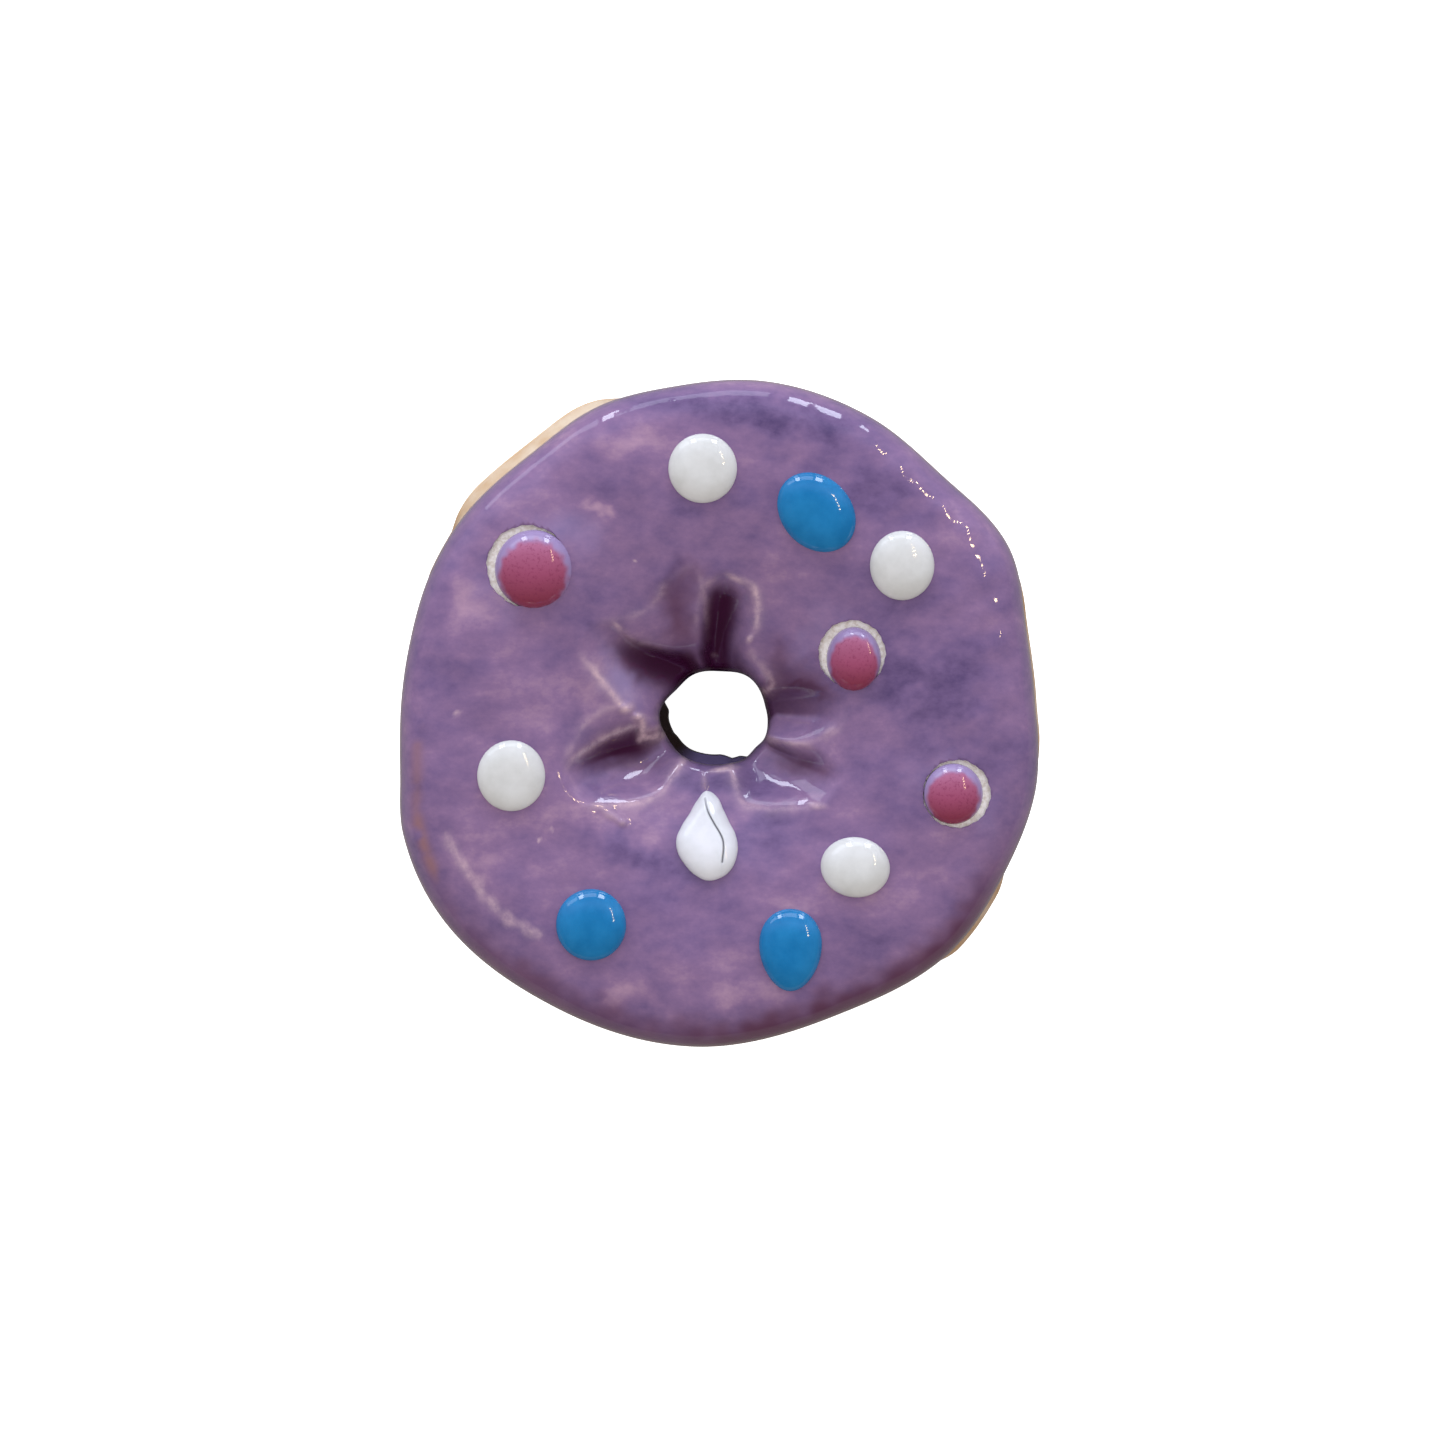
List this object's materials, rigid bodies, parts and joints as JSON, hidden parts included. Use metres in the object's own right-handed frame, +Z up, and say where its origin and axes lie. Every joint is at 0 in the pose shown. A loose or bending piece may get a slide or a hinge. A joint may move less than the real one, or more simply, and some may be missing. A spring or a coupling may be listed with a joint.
{
  "type": "ceramic doughnut",
  "caption": "Hand-made glazed ceramic doughnut with a purple top drawn into folds round its hole, and raised glaze dots in white, blue and pink.",
  "frame": {"origin": "on the table, under the middle of the ring's box", "axes": "+Z up out of the glazed top, +Y towards the back dots, +X to the right as seen from the front"},
  "size_m": [0.0895, 0.0932, 0.0308],
  "materials": {
    "clay": "tan fired clay under a thin clear glaze",
    "purple_glaze": "glossy mottled purple glaze, pinkish where thin",
    "white_glaze": "glossy white glaze",
    "blue_glaze": "glossy blue glaze",
    "pink_glaze": "glossy speckled pink glaze with a lavender rim"
  },
  "bodies": {
    "root": {"clay_ring": "clay", "purple_glaze": "purple_glaze", "white_dot_back": "white_glaze", "white_dot_right": "white_glaze", "white_dot_left": "white_glaze", "white_dot_front": "white_glaze", "white_teardrop": "white_glaze", "blue_dot_back": "blue_glaze", "blue_dot_left": "blue_glaze", "blue_dot_front": "blue_glaze", "pink_dot_left": "pink_glaze", "pink_dot_middle": "pink_glaze", "pink_dot_right": "pink_glaze"}
  },
  "joints": []
}
